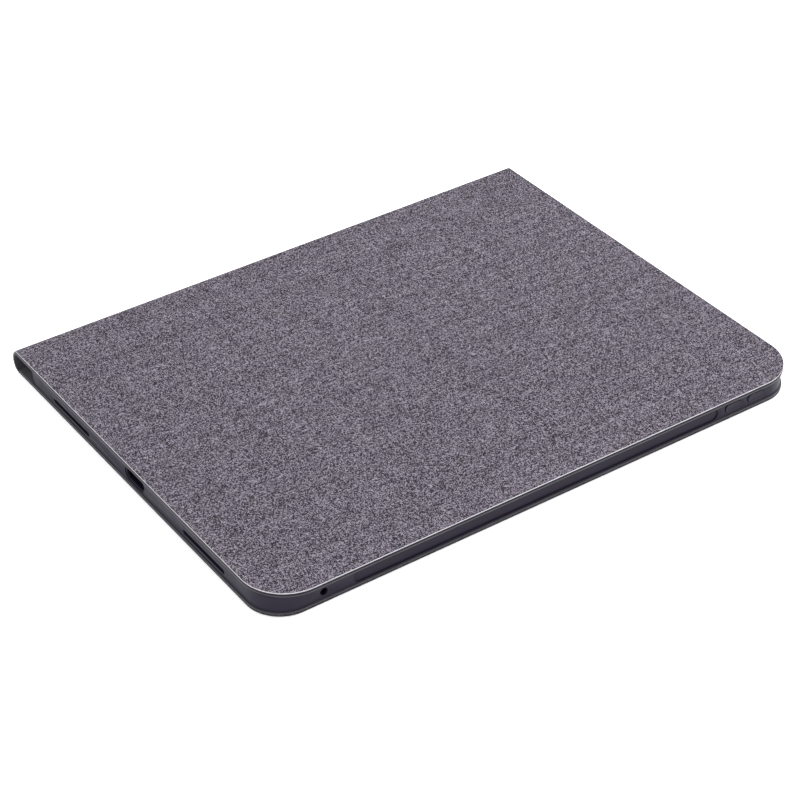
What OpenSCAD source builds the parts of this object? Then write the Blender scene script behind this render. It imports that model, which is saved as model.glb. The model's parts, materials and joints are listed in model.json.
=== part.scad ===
// Folio case with a detachable keyboard for a 12.9 inch tablet, lying closed with the cover on top.
// Origin: centre of the footprint on the resting surface. +X long side, +Y spine, +Z up.

/* [Tablet] */
// Length of the tablet that the tray holds
tablet_length = 280.6; // [230:0.1:340]
// Width of the tablet
tablet_width = 214.9; // [178:0.1:260]
// Thickness of the tablet
tablet_thickness = 6.4; // [5:0.1:8]
// Corner radius of the tablet
tablet_corner_r = 14.8; // [10:0.1:20]

/* [Tray] */
// Play between tablet and tray, each side
tray_fit = 0.1; // [0.05:0.05:0.5]
// Wall thickness of the moulded tray
tray_wall = 1.5; // [1.2:0.1:2.5]
// Floor thickness of the tray
tray_floor = 1.0; // [0.8:0.1:2]
// Height of the lip that holds the tablet in
lip_height = 0.9; // [0.6:0.1:1.5]
// How far the lip reaches over the tablet
lip_overhang = 1.0; // [0.6:0.1:2]
// Chamfer step round the outer top edge
edge_step = 0.5; // [0.3:0.1:0.8]
// Length of the charging port cut-out
port_length = 15.1; // [12:0.1:20]
// Height of the charging port cut-out
port_height = 5.2; // [4.5:0.1:6]
// Length of each speaker slot
speaker_length = 33.5; // [20:0.5:40]
// Height of each speaker slot
speaker_height = 2.2; // [1.5:0.1:3]
// From the tablet's long side to the middle of a speaker slot
speaker_inset = 49.4; // [40:0.1:60]
// Diameter of the round hole in the front wall
eject_hole_d = 3.7; // [2:0.1:5]
// From the tablet's port end to the round hole
eject_hole_inset = 25.1; // [20:0.1:35]
// From the tablet's port end to the start of the stylus recess
stylus_start = 39.5; // [36:0.5:60]
// Length of the stylus recess
stylus_length = 196; // [100:1:200]
// Depth of the stylus recess in the wall
stylus_recess = 0.5; // [0.3:0.1:0.8]
// Side of the camera window, along X
camera_x = 33; // [25:0.5:40]
// Side of the camera window, along Y
camera_y = 31; // [25:0.5:40]
// From the tablet's edges to the middle of the camera window
camera_inset = 24; // [22:0.5:30]

/* [Button pads] */
// Length of a volume pad
volume_length = 9.3; // [7:0.1:11]
// Distance between the middles of the volume pads
volume_pitch = 13.3; // [12:0.1:16]
// From the tablet's far end to the middle of the nearer volume pad
volume_inset = 22.7; // [22:0.1:30]
// Height of the button pads
pad_height = 4.4; // [3:0.1:5]
// Length of the power pad
power_length = 11; // [8:0.1:14]
// From the tablet's front side to the middle of the power pad
power_inset = 24; // [22:0.1:28]
// Gap between a pad and its slot
pad_gap = 0.25; // [0.2:0.05:0.4]
// How far a pad stands proud of the wall
pad_proud = 0.3; // [0.1:0.1:0.6]

/* [Cover and back] */
// Thickness of the woven outer skin
fabric_t = 0.5; // [0.3:0.1:0.8]
// Thickness of the boards in the back
back_board_t = 0.8; // [0.6:0.1:1.5]
// Thickness of the board in the cover
cover_board_t = 1.1; // [1:0.1:2]
// Thickness of the microfibre lining
lining_t = 0.5; // [0.3:0.1:0.8]
// Thickness of the cover's lining with its soft backing
cover_lining_t = 0.6; // [0.3:0.1:0.8]
// How far the cover reaches past the tray at each end
side_overhang = 1.1; // [0.8:0.1:3]
// How far the cover reaches past the tray at the front
front_overhang = 2.9; // [1.5:0.1:5]
// How far the back panel stands out beyond the tray
back_rim = 0.6; // [0.3:0.1:1]
// Corner radius of the cover
cover_corner_r = 21.5; // [15:0.5:30]
// Corner radius of the back panel
back_corner_r = 17; // [12:0.5:25]
// Gap between the tray's lip and the cover's lining
cover_gap = 0.6; // [0.4:0.1:1]

/* [Spine] */
// How far the spine bulges past the tray
spine_bulge = 4.5; // [4:0.1:6]
// Thickness of the spine's outer skin
spine_fabric_t = 0.6; // [0.4:0.1:0.8]
// Thickness of the spine's lining
spine_lining_t = 0.6; // [0.4:0.1:0.8]
// Gap between pieces that meet at a fold
fold_gap = 0.3; // [0.2:0.05:0.5]

/* [Keyboard] */
// From the cover's ends to the keyboard's ends
kb_side_margin = 9; // [7:0.5:12]
// From the cover's front edge to the keyboard
kb_front_margin = 10; // [9:0.5:14]
// Distance between the key rows
row_pitch = 17.6; // [16:0.1:19]
// Depth of the function row
function_pitch = 10.5; // [9:0.1:12]
// Plain border at the ends of the keyboard
side_border = 4; // [3:0.5:8]
// Plain border in front of the space bar
front_border = 8; // [6.5:0.5:12]
// Plain strip behind the function row
rear_border = 11.5; // [10:0.5:16]
// Corner radius of the keyboard
kb_corner_r = 8; // [4:0.5:12]
// Thickness of the keyboard's body
kb_body_t = 4.6; // [4.6:0.1:6]
// Thickness of the deck and of the base
kb_shell_t = 1.0; // [0.8:0.1:1.2]
// Side wall of the keyboard's base
kb_wall = 1.5; // [1.2:0.1:2]
// Space between neighbouring key caps
key_space = 1.8; // [1.6:0.1:3]
// Gap between a key cap and its hole in the deck
key_clear = 0.3; // [0.2:0.05:0.4]
// How far the key caps stand out of the deck
cap_proud = 1.3; // [1:0.1:1.5]
// Travel of a key
key_travel = 1.0; // [0.6:0.1:1]
// Thickness of the keyboard's feet
foot_t = 0.4; // [0.3:0.1:0.8]
// Diameter of the keyboard's feet
foot_d = 9; // [6:0.5:11]

/* [Small parts] */
// Thickness of the rubber ledge that the tablet stands behind
ledge_t = 1.2; // [0.8:0.1:1.4]
// Width of that ledge
ledge_w = 3; // [2:0.5:5]
// From the keyboard to the ledge
ledge_setback = 6; // [4:0.5:10]
// Thickness of the magnets in the cover
cover_magnet_t = 0.8; // [0.5:0.1:0.9]
// Thickness of the magnets in the keyboard
kb_magnet_t = 1.0; // [0.6:0.1:1.2]
// Thickness of the battery
battery_t = 1.1; // [0.8:0.1:1.1]
// Diameter of a screw's shank
screw_d = 1.4; // [1.2:0.1:2]
// Diameter of a screw's head
screw_head_d = 3; // [2.4:0.1:3.4]

/* [Hidden] */
$fn = 48;
eps = 0.01;
past = 1;
units = 15;

// Tray and covers, seen from above
tray_l = tablet_length + 2 * (tray_fit + tray_wall);
tray_w = tablet_width + 2 * (tray_fit + tray_wall);
tray_r = tablet_corner_r + tray_fit + tray_wall;
pocket_l = tray_l - 2 * tray_wall;
pocket_w = tray_w - 2 * tray_wall;
pocket_r = tray_r - tray_wall;
cover_l = tray_l + 2 * side_overhang;
total_w = front_overhang + tray_w + spine_bulge;
front_y = -total_w / 2;
hinge_y = total_w / 2 - spine_bulge;
tray_front_y = front_y + front_overhang;
tray_mid_y = tray_front_y + tray_w / 2;
back_l = tray_l + 2 * back_rim;
back_front_y = tray_front_y - back_rim;
fold_y = tray_mid_y;
board_inset = 0.8;

// Levels, from the resting surface up
back_t = fabric_t + back_board_t + lining_t;
pocket_z = back_t + tray_floor;
lip_z = pocket_z + tablet_thickness + tray_fit;
tray_top = lip_z + lip_height;
lining_z = tray_top + cover_gap;
cover_board_z = lining_z + cover_lining_t;
cover_fabric_z = cover_board_z + cover_board_t;
total_t = cover_fabric_z + fabric_t;
wall_mid_z = (back_t + tray_top) / 2;

// Openings and pads of the tray
tablet_mid_z = pocket_z + tablet_thickness / 2;
speaker_z = tablet_mid_z - 1.2;
eject_z = tablet_mid_z - 0.6;
stylus_z = (back_t + lip_z) / 2;
stylus_height = lip_z - back_t - 1.2;
pad_z = wall_mid_z - 0.4;
volume_up_x = tablet_length / 2 - volume_inset;
volume_down_x = volume_up_x - volume_pitch;
power_y = tray_front_y + tray_wall + tray_fit + power_inset;
camera_mid = [tablet_length / 2 - camera_inset, tray_front_y + tray_wall + tray_fit + camera_inset];
camera_r = 8;
ring_w = 1.5;
ring_play = 0.05;
ring_setback = 0.1;

// Boards of the back and the cover
board_play = 0.1;
fold_half = 1;
seat_play = 0.1;

// Spine: an arc through both fold lines
spine_r = (pow(total_t / 2, 2) + pow(spine_bulge, 2)) / (2 * spine_bulge);
spine_y = hinge_y + spine_bulge - spine_r;
spine_sides = 96;

// Keyboard levels, counted down from the cover
magnet_gap = 0.1;
kb_top = lining_z - magnet_gap - foot_t;
kb_bottom = kb_top - kb_body_t;
deck_in = kb_bottom + kb_shell_t;
base_in = kb_top - kb_shell_t;
plate_t = 0.4;
plate_z = base_in - battery_t - plate_t;
dome_t = 0.2;
dome_z = plate_z - dome_t;
press_clear = 0.1;
cap_top = dome_z - key_travel - press_clear;
cap_bottom = kb_bottom - cap_proud;

// Keyboard plan
kb_l = cover_l - 2 * kb_side_margin;
kb_w = front_border + 5 * row_pitch + function_pitch + rear_border;
kb_front = front_y + kb_front_margin;
kb_rear = kb_front + kb_w;
kb_mid_y = (kb_front + kb_rear) / 2;
unit = (kb_l - 2 * side_border) / units;
keys_front = kb_front + front_border;
keys_rear = kb_rear - rear_border;
strip_y = kb_rear - rear_border / 2;
inside_gap = 0.3;
ledge_y = kb_rear + ledge_setback + ledge_w / 2;
ledge_margin = 20;

// Width of each key in units, from the user's left, row by row away from the user
bottom_units = [1, 1, 1, 1.25, 5.5, 1.25, 1];
lower_units = [2.25, 1, 1, 1, 1, 1, 1, 1, 1, 1, 1, 2.75];
home_units = [1.75, 1, 1, 1, 1, 1, 1, 1, 1, 1, 1, 1, 2.25];
upper_units = [1.5, 1, 1, 1, 1, 1, 1, 1, 1, 1, 1, 1, 1, 1.5];
number_units = [1, 1, 1, 1, 1, 1, 1, 1, 1, 1, 1, 1, 1, 2];
function_units = [1, 1, 1, 1, 1, 1, 1, 1, 1, 1, 1, 1, 1, 1, 1];
space_index = 4;
rows = [lower_units, home_units, upper_units, number_units];
cap_corner = 1.2;
arrow_space = 1.4;
function_y = keys_front + 5 * row_pitch + function_pitch / 2;
cap_depth = row_pitch - key_space;
half_cap = (cap_depth - arrow_space) / 2;

// Small parts
screw_x = [-0.4 * kb_l, -0.14 * kb_l, 0.14 * kb_l, 0.4 * kb_l];
screw_play = 0.2;
shank_press = 0.04;
shank_z = deck_in + 0.4;
head_t = 0.5;
head_seat = 0.6;
head_z = kb_top - 0.55;
boss_d = 4;
magnet_x = 0.27 * kb_l;
magnet_l = 30;
magnet_w = 5;
front_magnet_w = 4;
front_magnet_y = kb_front + kb_wall + inside_gap + front_magnet_w / 2;
under_front = front_magnet_y + front_magnet_w / 2 + inside_gap;
under_rear = keys_rear + 1.5;
closure_magnet_d = 8;
closure_x = [-0.38 * cover_l, 0, 0.38 * cover_l];
closure_y = front_y + closure_magnet_d / 2 + 1.5;
plate_thin = 0.4;
stand_magnet_l = 0.7 * cover_l;
stand_magnet_w = 8;
stand_magnet_y = ledge_y + ledge_w + 6;
battery_x = 0.12 * kb_l;
battery_l = 0.42 * kb_l;
battery_w = 0.5 * kb_w;
pcb_l = 16;
pcb_t = 0.8;
port_shell_l = 7.6;
port_shell_h = 2.3;
port_shell_depth = 6;
port_shell_wall = 0.3;
port_shell_y = strip_y;
port_shell_x = -kb_l / 2 + 0.2;
port_play = 0.1;
port_shell_end = port_shell_x + port_shell_depth + port_play;
switch_y = kb_front + 0.14 * kb_w;
switch_l = 2.6;
switch_h = 1.2;
switch_travel = 2.6;
switch_proud = 0.6;
switch_play = 0.3;
switch_z = deck_in + 0.25;
switch_room = switch_h + 0.5;
pcb_front = port_shell_y - 24;
pcb_rear = port_shell_y + 3;
lens_x = -0.46 * kb_l;
lens_d = 1.4;
lens_pitch = 5;
lens_play = 0.05;

// Preview colours
tray_colour = [0.23, 0.22, 0.27];
fabric_colour = [0.44, 0.42, 0.46];
lining_colour = [0.3, 0.29, 0.33];
board_colour = [0.68, 0.66, 0.66];
magnet_colour = [0.7, 0.7, 0.72];
steel_colour = [0.64, 0.64, 0.66];
rubber_colour = [0.13, 0.13, 0.14];
shell_colour = [0.32, 0.32, 0.35];
cap_colour = [0.16, 0.16, 0.18];
dome_colour = [0.85, 0.85, 0.83];
battery_colour = [0.75, 0.76, 0.78];
pcb_colour = [0.1, 0.35, 0.2];
lens_colour = [0.9, 0.93, 0.95, 0.6];

// Rectangle with round corners, centred
module round_rect(l, w, r) {
  square([l - 2 * r, w], center = true);
  square([l, w - 2 * r], center = true);
  for (sx = [-1, 1])
    for (sy = [-1, 1])
      translate([sx * (l / 2 - r), sy * (w / 2 - r)])
        circle(r = r);
}

// Plate with round front corners and square corners at the spine
module folio_panel(l, y0, y1, r) {
  translate([-l / 2 + r, y0])
    square([l - 2 * r, y1 - y0]);
  translate([-l / 2, y0 + r])
    square([l, y1 - y0 - r]);
  for (sx = [-1, 1])
    translate([sx * (l / 2 - r), y0 + r])
      circle(r = r);
}

// Slot outline with round ends, centred, lying along X
module pill(l, h) {
  square([l - h, h], center = true);
  for (sx = [-1, 1])
    translate([sx * (l - h) / 2, 0])
      circle(d = h);
}

// Solid pill that runs through a wall facing Y, from y0 to y1
module pill_y(x, z, l, h, y0, y1) {
  translate([x, y1, z])
    rotate([90, 0, 0])
      linear_extrude(y1 - y0)
        pill(l, h);
}

// Solid pill that runs through a wall facing X, from x0 to x1
module pill_x(y, z, l, h, x0, x1) {
  translate([x0, y, z])
    rotate([90, 0, 90])
      linear_extrude(x1 - x0)
        pill(l, h);
}

module slab(l, w, r, z0, z1, y = tray_mid_y) {
  translate([0, y, z0])
    linear_extrude(z1 - z0)
      round_rect(l, w, r);
}

// Space for a pad, with its gap
module pad_slot_y(x, l) {
  pill_y(x, pad_z, l + 2 * pad_gap, pad_height + 2 * pad_gap,
         tray_front_y - past, tray_front_y + tray_wall + past);
}

module camera_window(grow, z0, z1) {
  translate([camera_mid[0], camera_mid[1], z0])
    linear_extrude(z1 - z0)
      round_rect(camera_x + 2 * grow, camera_y + 2 * grow, camera_r + grow);
}

module tray_openings() {
  end_x = tray_l / 2;
  speaker_y = tablet_width / 2 - speaker_inset;
  // charging port
  pill_x(tray_mid_y, tablet_mid_z, port_length, port_height, -end_x - past, -end_x + tray_wall + past);
  // speakers at both ends
  for (sx = [-1, 1])
    for (sy = [-1, 1])
      pill_x(tray_mid_y + sy * speaker_y, speaker_z, speaker_length, speaker_height,
             sx < 0 ? -end_x - past : end_x - tray_wall - past,
             sx < 0 ? -end_x + tray_wall + past : end_x + past);
  // card tray hole
  translate([-tablet_length / 2 + eject_hole_inset, tray_front_y - past, eject_z])
    rotate([-90, 0, 0])
      cylinder(d = eject_hole_d, h = tray_wall + 2 * past);
  // slots of the button pads
  pad_slot_y(volume_up_x, volume_length);
  pad_slot_y(volume_down_x, volume_length);
  pill_x(power_y, pad_z, power_length + 2 * pad_gap, pad_height + 2 * pad_gap,
         end_x - tray_wall - past, end_x + past);
  // stylus recess
  pill_y(-tablet_length / 2 + stylus_start + stylus_length / 2, stylus_z, stylus_length, stylus_height,
         tray_front_y - past, tray_front_y + stylus_recess);
}

module tablet_tray() {
  color(tray_colour)
    difference() {
      union() {
        slab(tray_l, tray_w, tray_r, back_t, tray_top - edge_step);
        slab(tray_l - 2 * edge_step, tray_w - 2 * edge_step, tray_r - edge_step,
             tray_top - edge_step - eps, tray_top);
      }
      slab(pocket_l, pocket_w, pocket_r, pocket_z, lip_z);
      slab(pocket_l - 2 * lip_overhang, pocket_w - 2 * lip_overhang, pocket_r - lip_overhang,
           lip_z - eps, tray_top + past);
      camera_window(0, back_t - past, pocket_z + past);
      tray_openings();
    }
}

module camera_ring() {
  color(tray_colour)
    difference() {
      camera_window(ring_w - ring_play, ring_setback, back_t);
      camera_window(0, -past, back_t + past);
    }
}

module back_plan(inset) {
  folio_panel(back_l - 2 * inset, back_front_y + inset, hinge_y - fold_gap / 2 - inset,
              back_corner_r - inset);
}

module back_fabric() {
  color(fabric_colour)
    difference() {
      linear_extrude(fabric_t + back_board_t)
        back_plan(0);
      translate([0, 0, fabric_t])
        linear_extrude(back_board_t + past)
          back_plan(board_inset);
      camera_window(ring_w, -past, back_t + past);
    }
}

module back_board(y0, y1) {
  color(board_colour)
    difference() {
      translate([0, 0, fabric_t])
        linear_extrude(back_board_t)
          intersection() {
            back_plan(board_inset + board_play);
            translate([-back_l, y0])
              square([2 * back_l, y1 - y0]);
          }
      camera_window(ring_w, -past, back_t + past);
    }
}

module back_board_tray() {
  back_board(front_y, fold_y - fold_half);
}

module back_board_stand() {
  back_board(fold_y + fold_half, total_w / 2);
}

module back_lining() {
  color(lining_colour)
    difference() {
      translate([0, 0, fabric_t + back_board_t])
        linear_extrude(lining_t)
          back_plan(0);
      camera_window(ring_w, -past, back_t + past);
    }
}

module pad_y(x, l) {
  color(tray_colour)
    pill_y(x, pad_z, l, pad_height, tray_front_y - pad_proud, tray_front_y + tray_wall);
}

module volume_up_pad() {
  pad_y(volume_up_x, volume_length);
}

module volume_down_pad() {
  pad_y(volume_down_x, volume_length);
}

module power_pad() {
  color(tray_colour)
    pill_x(power_y, pad_z, power_length, pad_height, tray_l / 2 - tray_wall, tray_l / 2 + pad_proud);
}

// One layer of the curved spine, between two depths under its outer face and two heights
module spine_layer(depth, t, z0, z1) {
  intersection() {
    translate([-cover_l / 2, spine_y, total_t / 2])
      rotate([0, 90, 0])
        difference() {
          cylinder(r = spine_r - depth, h = cover_l, $fn = spine_sides);
          translate([0, 0, -past])
            cylinder(r = spine_r - depth - t, h = cover_l + 2 * past, $fn = spine_sides);
        }
    translate([-cover_l, hinge_y + fold_gap / 2, z0])
      cube([2 * cover_l, spine_bulge + past, z1 - z0]);
  }
}

module spine_fabric_lower() {
  color(fabric_colour)
    spine_layer(0, spine_fabric_t, -past, (total_t - fold_gap) / 2);
}

module spine_lining_lower() {
  color(lining_colour)
    spine_layer(spine_fabric_t, spine_lining_t, -past, (total_t - fold_gap) / 2);
}

module spine_fabric_upper() {
  color(fabric_colour)
    spine_layer(0, spine_fabric_t, (total_t + fold_gap) / 2, total_t + past);
}

module spine_lining_upper() {
  color(lining_colour)
    spine_layer(spine_fabric_t, spine_lining_t, (total_t + fold_gap) / 2, total_t + past);
}

module cover_plan() {
  folio_panel(cover_l, front_y, hinge_y - fold_gap / 2, cover_corner_r);
}

module cover_fabric() {
  color(fabric_colour)
    translate([0, 0, cover_fabric_z])
      linear_extrude(fabric_t)
        cover_plan();
}

module closure_magnet_shapes(grow, t) {
  for (k = closure_x)
    translate([k, closure_y, cover_board_z - (grow > 0 ? eps : 0)])
      cylinder(d = closure_magnet_d + 2 * grow, h = t);
}

module holding_plate_shapes(grow, t) {
  for (sx = [-1, 1])
    for (y = [strip_y, front_magnet_y])
      translate([sx * magnet_x, y, cover_board_z + t / 2 - (grow > 0 ? eps : 0)])
        cube([magnet_l + 2 * grow, magnet_w + 2 * grow, t], center = true);
}

module stand_magnet_shape(grow, t) {
  translate([0, stand_magnet_y, cover_board_z + t / 2 - (grow > 0 ? eps : 0)])
    cube([stand_magnet_l + 2 * grow, stand_magnet_w + 2 * grow, t], center = true);
}

module cover_board() {
  color(board_colour)
    difference() {
      translate([0, 0, cover_board_z])
        linear_extrude(cover_board_t)
          cover_plan();
      closure_magnet_shapes(seat_play, cover_magnet_t + seat_play);
      holding_plate_shapes(seat_play, plate_thin + seat_play);
      stand_magnet_shape(seat_play, cover_magnet_t + seat_play);
    }
}

module cover_lining() {
  color(lining_colour)
    translate([0, 0, lining_z])
      linear_extrude(cover_lining_t)
        cover_plan();
}

module closure_magnets() {
  color(magnet_colour)
    closure_magnet_shapes(0, cover_magnet_t);
}

module holding_plates() {
  color(steel_colour)
    holding_plate_shapes(0, plate_thin);
}

module stand_magnet() {
  color(magnet_colour)
    stand_magnet_shape(0, cover_magnet_t);
}

module stand_ledge() {
  color(rubber_colour)
    translate([0, ledge_y, lining_z - ledge_t])
      linear_extrude(ledge_t)
        pill(cover_l - 2 * ledge_margin, ledge_w);
}

// Keyboard body
module screw_places() {
  for (k = screw_x)
    translate([k, strip_y, 0])
      children();
}

module keyboard_base() {
  color(shell_colour)
    difference() {
      slab(kb_l, kb_w, kb_corner_r, deck_in, kb_top, kb_mid_y);
      slab(kb_l - 2 * kb_wall, kb_w - 2 * kb_wall, kb_corner_r - kb_wall, deck_in - past, base_in, kb_mid_y);
      screw_places()
        translate([0, 0, base_in - past])
          cylinder(d = screw_d + screw_play, h = kb_shell_t + 2 * past);
      screw_places()
        translate([0, 0, kb_top - head_seat])
          cylinder(d = screw_head_d + screw_play, h = past);
      // window of the charging port, with room for its shell inside the rounded corner
      translate([-kb_l / 2 - past, port_shell_y - port_shell_l / 2 - port_play, deck_in - eps])
        cube([port_shell_end + kb_l / 2 + past, port_shell_l + 2 * port_play, port_shell_h + port_play + eps]);
      // slot of the power switch
      translate([-kb_l / 2 - past, switch_y - switch_l / 2 - switch_play, deck_in - eps])
        cube([kb_wall + 2 * past, switch_l + switch_travel + 2 * switch_play, switch_room + eps]);
    }
}

// Cap outline: a rectangle with cut corners
module cap_plan(w, d) {
  c = cap_corner;
  polygon([[-w / 2 + c, -d / 2], [w / 2 - c, -d / 2], [w / 2, -d / 2 + c], [w / 2, d / 2 - c],
           [w / 2 - c, d / 2], [-w / 2 + c, d / 2], [-w / 2, d / 2 - c], [-w / 2, -d / 2 + c]]);
}

function sum_before(v, n) = n <= 0 ? 0 : v[n - 1] + sum_before(v, n - 1);

function key_x(v, n) = kb_l / 2 - side_border - unit * (sum_before(v, n) + v[n] / 2);

function row_y(n) = keys_front + row_pitch * (n + 0.5);

arrow_units = units - sum_before(bottom_units, len(bottom_units));

function arrow_x(n) = kb_l / 2 - side_border - unit * (units - arrow_units + n + 0.5);

// Cap, or its hole when grown
module key(x, y, w, d, grow) {
  if (grow > 0)
    translate([x, y, kb_bottom - past])
      linear_extrude(kb_shell_t + 2 * past)
        square([w + 2 * grow, d + 2 * grow], center = true);
  else
    translate([x, y, cap_bottom])
      linear_extrude(cap_top - cap_bottom)
        cap_plan(w, d);
}

module key_row(v, y, d, grow = 0, skip = -1) {
  for (n = [0 : len(v) - 1])
    if (n != skip)
      key(key_x(v, n), y, v[n] * unit - key_space, d, grow);
}

module space_key(grow = 0) {
  key(key_x(bottom_units, space_index), row_y(0), bottom_units[space_index] * unit - key_space,
      cap_depth, grow);
}

// Arrow keys: 0 left, 1 middle, 2 right; the middle column holds up (far) and down (near)
module arrow_key(n, far, grow = 0) {
  key(arrow_x(n), row_y(0) + (far ? 1 : -1) * (cap_depth - half_cap) / 2, unit - key_space, half_cap, grow);
}

module keyboard_deck() {
  color(shell_colour)
    difference() {
      slab(kb_l, kb_w, kb_corner_r, kb_bottom, deck_in, kb_mid_y);
      for (n = [0 : len(rows) - 1])
        key_row(rows[n], row_y(n + 1), cap_depth, key_clear);
      key_row(function_units, function_y, function_pitch - key_space, key_clear);
      key_row(bottom_units, row_y(0), cap_depth, key_clear, space_index);
      space_key(key_clear);
      for (n = [0 : 2])
        arrow_key(n, false, key_clear);
      arrow_key(1, true, key_clear);
      lens_places()
        translate([0, 0, kb_bottom - past])
          cylinder(d = lens_d + 2 * lens_play, h = kb_shell_t + 2 * past);
    }
}

module screw_bosses() {
  color(shell_colour)
    screw_places()
      difference() {
        translate([0, 0, deck_in])
          cylinder(d = boss_d, h = base_in - deck_in);
        translate([0, 0, deck_in - past])
          cylinder(d = screw_d, h = kb_body_t + past);
      }
}

module lens_places() {
  for (n = [0 : 2])
    translate([lens_x + n * lens_pitch, strip_y, 0])
      children();
}

module indicator_lenses() {
  color(lens_colour)
    lens_places()
      translate([0, 0, kb_bottom + lens_play])
        cylinder(d = lens_d, h = kb_shell_t - lens_play);
}

// Support under the keys, between the walls and in front of the bosses
module under_keys(z, t) {
  translate([-kb_l / 2 + kb_wall + inside_gap, under_front, z])
    cube([kb_l - 2 * (kb_wall + inside_gap), under_rear - under_front, t]);
}

module key_plate() {
  color(steel_colour)
    under_keys(plate_z, plate_t);
}

module dome_sheet() {
  color(dome_colour)
    under_keys(dome_z, dome_t);
}

module battery() {
  color(battery_colour)
    translate([battery_x, kb_mid_y, base_in - battery_t / 2])
      cube([battery_l, battery_w, battery_t], center = true);
}

module circuit_board() {
  color(pcb_colour)
    translate([-kb_l / 2 + kb_wall + inside_gap + port_shell_depth, pcb_front, base_in - pcb_t])
      cube([pcb_l, pcb_rear - pcb_front, pcb_t]);
}

module charge_port() {
  color(steel_colour)
    translate([port_shell_x, port_shell_y, deck_in + port_shell_h / 2])
      difference() {
        translate([0, -port_shell_l / 2, -port_shell_h / 2])
          cube([port_shell_depth, port_shell_l, port_shell_h]);
        translate([-past, -port_shell_l / 2 + port_shell_wall, -port_shell_h / 2 + port_shell_wall])
          cube([port_shell_depth, port_shell_l - 2 * port_shell_wall, port_shell_h - 2 * port_shell_wall]);
      }
}

module power_switch() {
  color(rubber_colour)
    translate([-kb_l / 2 - switch_proud, switch_y - switch_l / 2, switch_z])
      cube([switch_proud + kb_wall, switch_l, switch_h]);
}

module keyboard_magnets() {
  color(magnet_colour)
    for (sx = [-1, 1]) {
      translate([sx * magnet_x, strip_y, base_in - kb_magnet_t / 2])
        cube([magnet_l, magnet_w, kb_magnet_t], center = true);
      translate([sx * magnet_x, front_magnet_y, base_in - kb_magnet_t / 2])
        cube([magnet_l, front_magnet_w, kb_magnet_t], center = true);
    }
}

module keyboard_feet() {
  color(rubber_colour)
    for (sx = [-1, 1])
      for (y = [kb_front + foot_d, kb_rear - foot_d])
        translate([sx * (kb_l / 2 - foot_d), y, kb_top])
          cylinder(d = foot_d, h = foot_t);
}

module keyboard_screws() {
  color(steel_colour)
    screw_places() {
      translate([0, 0, head_z])
        cylinder(d = screw_head_d, h = head_t);
      translate([0, 0, shank_z])
        cylinder(d = screw_d - shank_press, h = head_z + eps - shank_z);
    }
}

// Key caps
module caps() {
  color(cap_colour)
    children();
}

module function_row_keys() {
  caps()
    key_row(function_units, function_y, function_pitch - key_space);
}

module number_row_keys() {
  caps()
    key_row(number_units, row_y(4), cap_depth);
}

module upper_row_keys() {
  caps()
    key_row(upper_units, row_y(3), cap_depth);
}

module home_row_keys() {
  caps()
    key_row(home_units, row_y(2), cap_depth);
}

module lower_row_keys() {
  caps()
    key_row(lower_units, row_y(1), cap_depth);
}

module bottom_row_keys() {
  caps()
    key_row(bottom_units, row_y(0), cap_depth, skip = space_index);
}

module space_bar() {
  caps()
    space_key();
}

module arrow_left_key() {
  caps()
    arrow_key(0, false);
}

module arrow_right_key() {
  caps()
    arrow_key(2, false);
}

module arrow_up_key() {
  caps()
    arrow_key(1, true);
}

module arrow_down_key() {
  caps()
    arrow_key(1, false);
}

tablet_tray();
camera_ring();
back_fabric();
back_board_stand();
back_board_tray();
back_lining();
volume_up_pad();
volume_down_pad();
power_pad();
spine_fabric_lower();
spine_lining_lower();
spine_fabric_upper();
spine_lining_upper();
cover_fabric();
cover_board();
cover_lining();
closure_magnets();
holding_plates();
stand_magnet();
stand_ledge();
keyboard_base();
keyboard_deck();
key_plate();
dome_sheet();
battery();
circuit_board();
charge_port();
keyboard_magnets();
keyboard_feet();
keyboard_screws();
screw_bosses();
indicator_lenses();
power_switch();
function_row_keys();
number_row_keys();
upper_row_keys();
home_row_keys();
lower_row_keys();
bottom_row_keys();
space_bar();
arrow_left_key();
arrow_right_key();
arrow_up_key();
arrow_down_key();
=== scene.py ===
# %% [markdown]
# # A cloth-covered tablet keyboard case
# The part is a folio: a moulded tray holds the tablet, a hinged spine joins it to a
# stiff cover, and a thin keyboard sits inside the cover. This lesson dresses the CAD
# model: it keeps every size and joint, and gives each visible piece its real shape
# and finish. All lengths are in metres, so MM turns millimetres into them.

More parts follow.
